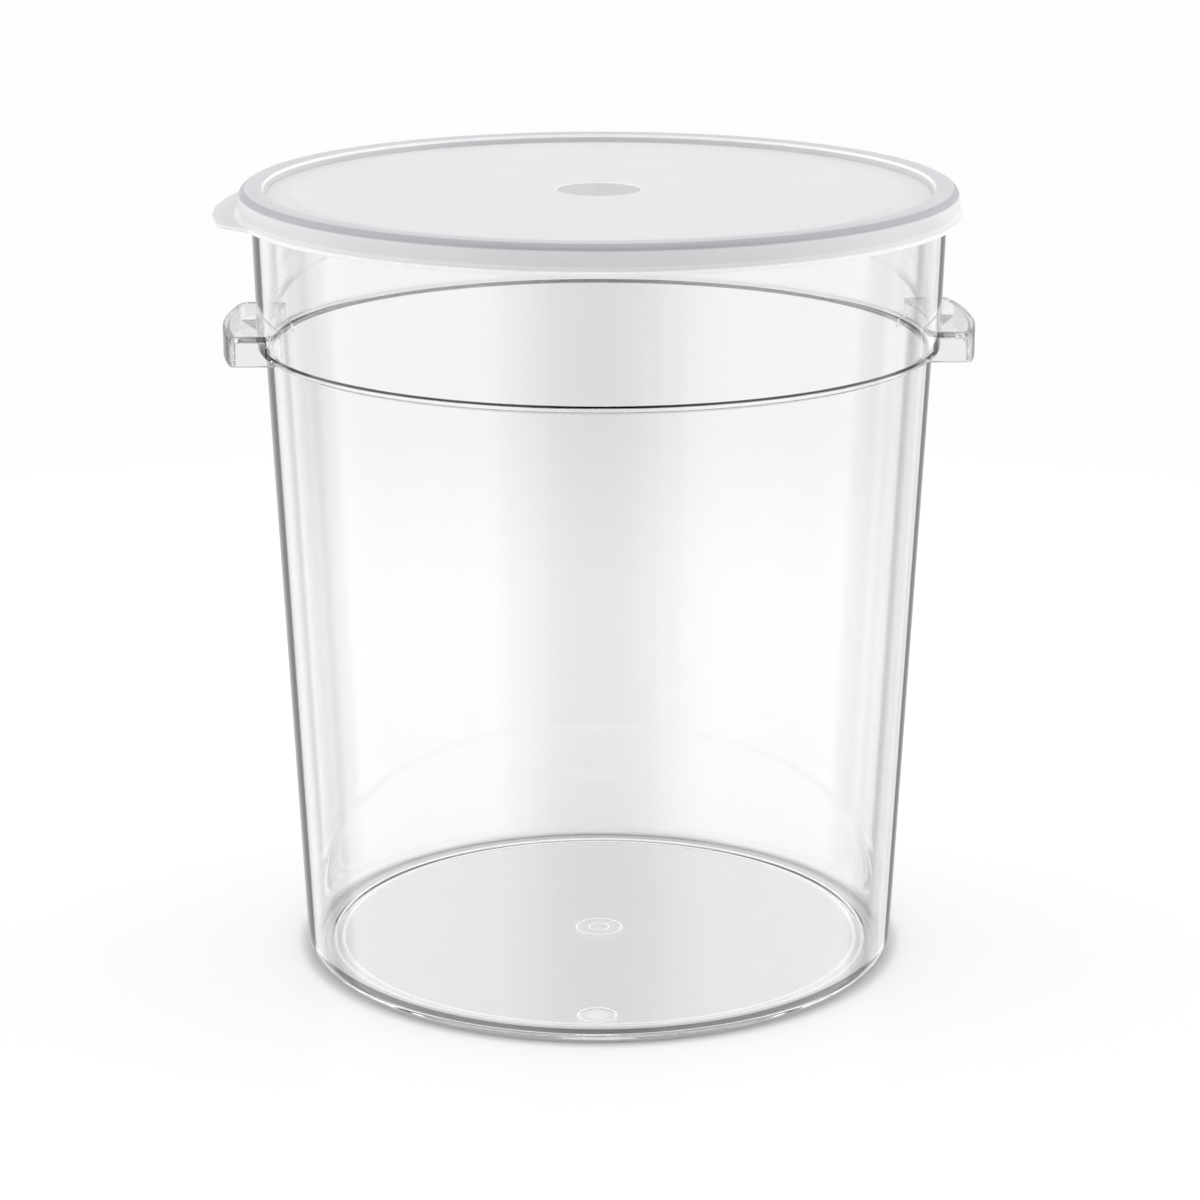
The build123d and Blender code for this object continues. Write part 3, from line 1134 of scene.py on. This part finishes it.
@dataclass
class Studio:
    """The pale table, the soft light round it and the camera.

    Levels are strengths, where 1 lights a white surface to white. A round of
    lights is a row of angles from the front and the levels there, alike to
    both sides. What a clear wall mirrors is the light beyond the near table.

    Attributes:
        table_glow: Level of the board where it glows in full.
        table_glow_direct: Share of that glow which the camera sees.
        table_glow_through: Share of it seen in mirrors and through the plastic.
        foot_edge_m: Radius of the foot's edge, where the table is darkest.
        foot_shade_m: Distances from it where the glow starts and is full; nearer the foot's edge the glow
            is taken away, which paints a darker contact shade over the board's own shadow.
        open_table_m: Distances where the board starts and ends to turn into backdrop.
        edge_dark: Level of the table where light left an edge of clear plastic.
        steep_dark: Level seen through clear plastic high over the backdrop.
        two_walls: Count of refractions that only a ray across two walls passes.
        mirrored_lights: Lights that the walls mirror, below the table's level.
        low_lights: Lights round the object, near the table's level.
        middle_lights: Lights round the object, higher up.
        top_level: The soft light overhead.
        brightest: Level that stands for white in a round of lights.
        low_climb: Elevations between which the low lights come in, in degrees.
            The other climbs are the same for the middle lights, the light
            overhead and the dark seen high over the backdrop.
        clear_surfaces: Surfaces of clear plastic that a ray may cross.
        mirrorings: Reflections that it may make.
        scatterings: Matt surfaces that it may leave.
        all_bounces: The limit for all of these together.
    """

    table_half_width_m: float = 12.0
    table_gap_mm: float = 0.1
    table_colour: str = "fcfcfc"
    table_roughness: float = 0.15
    table_gloss: float = 0.2
    table_glow: float = 0.99
    table_glow_direct: float = 0.47
    table_glow_through: float = 0.7
    foot_edge_m: float = 0.142
    foot_shade_m: tuple[float, float] = (0.0015, 0.006)
    open_table_m: tuple[float, float] = (0.5, 1.2)
    backdrop: float = 0.985
    edge_dark: float = 0.2
    steep_dark: float = 0.1
    two_walls: float = 3.5
    mirrored_lights: Lights = (
        (0, 0.0), (7, 0.0), (11, 0.15), (17, 0.2), (20, 0.55), (30, 1.0), (42, 1.5), (110, 1.6),
        (118, 0.6), (127, 0.3), (136, 1.2), (147, 1.9), (152, 1.8), (155, 0.3), (160, 0.35),
        (166, 0.6), (178, 0.8),
    )
    low_lights: Lights = ((0, 0.4), (20, 0.6), (42, 1.6), (120, 1.6), (150, 0.8))
    middle_lights: Lights = ((0, 0.15), (45, 0.2), (75, 1.9), (120, 1.9), (150, 0.2))
    top_level: float = 1.4
    brightest: float = 2.0
    low_climb: tuple[float, float] = (-3, 2)
    middle_climb: tuple[float, float] = (22, 34)
    top_climb: tuple[float, float] = (50, 65)
    steep_climb: tuple[float, float] = (12, 26)
    clear_surfaces: int = 24
    mirrorings: int = 32
    scatterings: int = 5
    all_bounces: int = 40
    camera_mm: tuple[float, float, float] = (-60.3, -1645.4, 629.1)
    camera_pitch: float = 15.6
    camera_turn: float = -2.1
    focal_px: float = 3568.3
    centre_px: float = 599.0
    picture_px: float = 1200.0
    sensor_mm: float = 36.0
    clip_end_m: float = 48.0

    def edge_rays(self, tree: bpy.types.NodeTree, path: bpy.types.Node) -> bpy.types.Node:
        """Picks the rays that left clear plastic after an inner reflection.

        They are what draws the edge of a clear wall, and they show a darker
        part of the studio. Rays that crossed two walls aren't among them.

        Args:
            tree: The node tree.
            path: Its Light Path node.

        Returns:
            The node that gives one for such a ray and zero for the others.
        """
        depth, crossed = path.outputs["Glossy Depth"], path.outputs["Transmission Depth"]
        inside = add_node(tree, "Math", [depth, HALF_BOUNCE], operation="GREATER_THAN")
        near = add_node(tree, "Math", [crossed, self.two_walls], operation="LESS_THAN")
        both = add_node(tree, "Math", [inside, near], operation="MULTIPLY")
        return add_node(tree, "Math", [both, path.outputs["Is Transmission Ray"]], operation="MULTIPLY")

    def layered(
        self, tree: bpy.types.NodeTree, up: bpy.types.NodeSocket, level: Any, climbs: Sequence[Climb]
    ) -> Any:
        """Lays levels of light over each other by elevation.

        Args:
            tree: The node tree.
            up: Sine of the elevation.
            level: The lowest level, a number or a node.
            climbs: The climbs to the higher levels, in order.

        Returns:
            The node that gives the level.
        """
        for climb in climbs:
            first, last = (float(np.sin(np.radians(angle))) for angle in (climb.first, climb.last))
            share = add_node(tree, "MapRange", [up, first, last], interpolation_type="SMOOTHSTEP")
            level = add_node(tree, "Mix", {0: share, 2: level, 3: climb.level})
        return level

    def light(self) -> None:
        """Lights the scene from the world, in soft lights by azimuth and elevation."""
        world = bpy.data.worlds.new("soft_studio")
        world.use_nodes = True
        tree = world.node_tree
        tree.nodes.clear()
        parts = add_node(tree, "SeparateXYZ", [add_node(tree, "TexCoord").outputs["Generated"]])
        ahead = add_node(tree, "Math", [parts.outputs["Y"], -1.0], operation="MULTIPLY")
        angle = add_node(tree, "Math", [parts.outputs["X"], ahead], operation="ARCTAN2")
        angle = add_node(tree, "Math", [angle], operation="ABSOLUTE")
        turn = add_node(tree, "Math", [angle, float(np.pi)], operation="DIVIDE")
        rounds = []
        for lights in (self.mirrored_lights, self.low_lights, self.middle_lights):
            ramp = add_node(tree, "ValToRGB", [turn])
            ramp.color_ramp.interpolation = "EASE"
            while len(ramp.color_ramp.elements) < len(lights):
                ramp.color_ramp.elements.new(1.0)
            for element, (degrees, level) in zip(ramp.color_ramp.elements, lights):
                element.position = degrees / 180
                element.color = (*[level / self.brightest] * 3, 1.0)
            full = add_node(tree, "Math", [ramp.outputs["Color"], self.brightest], operation="MULTIPLY")
            rounds.append(full)
        mirrored, low, middle = rounds
        up = parts.outputs["Z"]
        climbs = [
            Climb(*self.low_climb, low),
            Climb(*self.middle_climb, middle),
            Climb(*self.top_climb, self.top_level),
        ]
        studio = self.layered(tree, up, mirrored, climbs)
        backdrop = self.layered(tree, up, self.backdrop, [Climb(*self.steep_climb, self.steep_dark)])
        path = add_node(tree, "LightPath")
        depth = path.outputs["Glossy Depth"]
        straight = add_node(tree, "Math", [depth, HALF_BOUNCE], operation="LESS_THAN")
        seen_through = add_node(
            tree, "Math", [straight, path.outputs["Is Transmission Ray"]], operation="MULTIPLY"
        )
        shown = add_node(tree, "Math", [seen_through, path.outputs["Is Camera Ray"]], operation="MAXIMUM")
        strength = add_node(tree, "Mix", {0: shown, 2: studio, 3: backdrop})
        glow = add_node(tree, "Background", {"Color": linear(WHITE), "Strength": strength})
        add_node(tree, "OutputWorld", {"Surface": glow})
        bpy.context.scene.world = world

    def table(self) -> bpy.types.Object:
        """Makes the pale table, faintly glossy.

        Near the object it is a board that takes shadows, and glows a little for rays from the camera,
        mirrors and clear plastic, but not under the foot's edge, where taking the glow away paints a ring
        of darker contact shade over the board's own shadow. Further out it turns into the lit backdrop,
        and mirrored rays pass it to the studio's lights.

        Returns:
            The table's object.
        """
        half = self.table_half_width_m / METRES
        corners = np.array([(-half, -half), (half, -half), (half, half), (-half, half)])
        points = np.column_stack([corners, np.full(4, -self.table_gap_mm)])
        table = write_mesh("table_top", points, [[0, 1, 2, 3]])
        material, tree = new_material("painted_board")
        path = add_node(tree, "LightPath")
        place = add_node(tree, "TexCoord").outputs["Object"]
        away = add_node(tree, "VectorMath", [place], operation="LENGTH").outputs["Value"]
        far = add_node(tree, "MapRange", [away, *self.open_table_m], interpolation_type="SMOOTHSTEP")
        glow = 0.0
        for kind, share in (
            ("Is Camera Ray", self.table_glow_direct),
            ("Is Glossy Ray", self.table_glow_through),
            ("Is Transmission Ray", self.table_glow_through),
        ):
            part = add_node(tree, "Math", [path.outputs[kind], share], operation="MULTIPLY")
            glow = add_node(tree, "Math", [glow, part], operation="MAXIMUM")
        # Painted contact shade: the glow fades out in a ring under the foot's edge, so the board shows
        # darker there than the glow lets it anywhere else
        beside = add_node(tree, "Math", [away, self.foot_edge_m], operation="SUBTRACT")
        beside = add_node(tree, "Math", [beside], operation="ABSOLUTE")
        glow = add_node(tree, "MapRange", [beside, *self.foot_shade_m, 0.0, glow])
        colour = add_node(
            tree, "Mix", {0: glow, 6: linear(self.table_colour), 7: linear(BLACK)}, data_type="RGBA"
        )
        strength = add_node(tree, "Math", [glow, self.table_glow], operation="MULTIPLY")
        board = add_node(
            tree,
            "BsdfPrincipled",
            {
                "Base Color": colour.outputs[2],
                "Roughness": self.table_roughness,
                "Specular IOR Level": self.table_gloss,
                "Emission Color": linear(WHITE),
                "Emission Strength": strength,
            },
        )
        backdrop = add_node(tree, "Emission", {"Color": linear(WHITE), "Strength": self.backdrop})
        surface = add_node(tree, "MixShader", [far, board, backdrop])
        depth = path.outputs["Glossy Depth"]
        mirrored = add_node(tree, "Math", [depth, HALF_BOUNCE], operation="GREATER_THAN")
        opening = add_node(tree, "BsdfTransparent")
        surface = add_node(tree, "MixShader", [mirrored, surface, opening])
        dark = add_node(tree, "Emission", {"Color": linear(WHITE), "Strength": self.edge_dark})
        surface = add_node(tree, "MixShader", [self.edge_rays(tree, path), surface, dark])
        add_node(tree, "OutputMaterial", {"Surface": surface})
        table.data.materials.append(material)
        return table

    def aim(self) -> None:
        """Sets the camera where the photograph was taken from."""
        lens = bpy.data.cameras.new("photo_camera")
        lens.sensor_width = self.sensor_mm
        lens.lens = self.focal_px / self.picture_px * self.sensor_mm
        lens.shift_x = (self.picture_px / 2 - self.centre_px) / self.picture_px
        lens.clip_end = self.clip_end_m
        camera = bpy.data.objects.new("photo_camera", lens)
        camera.location = np.array(self.camera_mm) * METRES
        camera.rotation_euler = (np.radians(90 - self.camera_pitch), 0, np.radians(self.camera_turn))
        bpy.context.scene.collection.objects.link(camera)
        bpy.context.scene.camera = camera

    def tune(self) -> None:
        """Lets light cross the many surfaces of clear plastic that lie in line."""
        scene = bpy.context.scene
        scene.view_settings.view_transform = "Standard"
        scene.cycles.max_bounces = self.all_bounces
        scene.cycles.transmission_bounces = self.clear_surfaces
        scene.cycles.transparent_max_bounces = self.clear_surfaces
        scene.cycles.glossy_bounces = self.mirrorings
        scene.cycles.diffuse_bounces = self.scatterings

    def build(self) -> None:
        """Sets the whole studio."""
        self.light()
        self.table()
        self.aim()
        self.tune()


def main() -> None:
    """Builds the pieces and the studio."""
    logging.basicConfig(level=logging.INFO, format="%(name)s: %(message)s")
    container = ContainerShell()
    container.build()
    LidShell(SatinPolypropylene(), container).build()
    Studio().build()


if __name__ == "__main__":
    main()
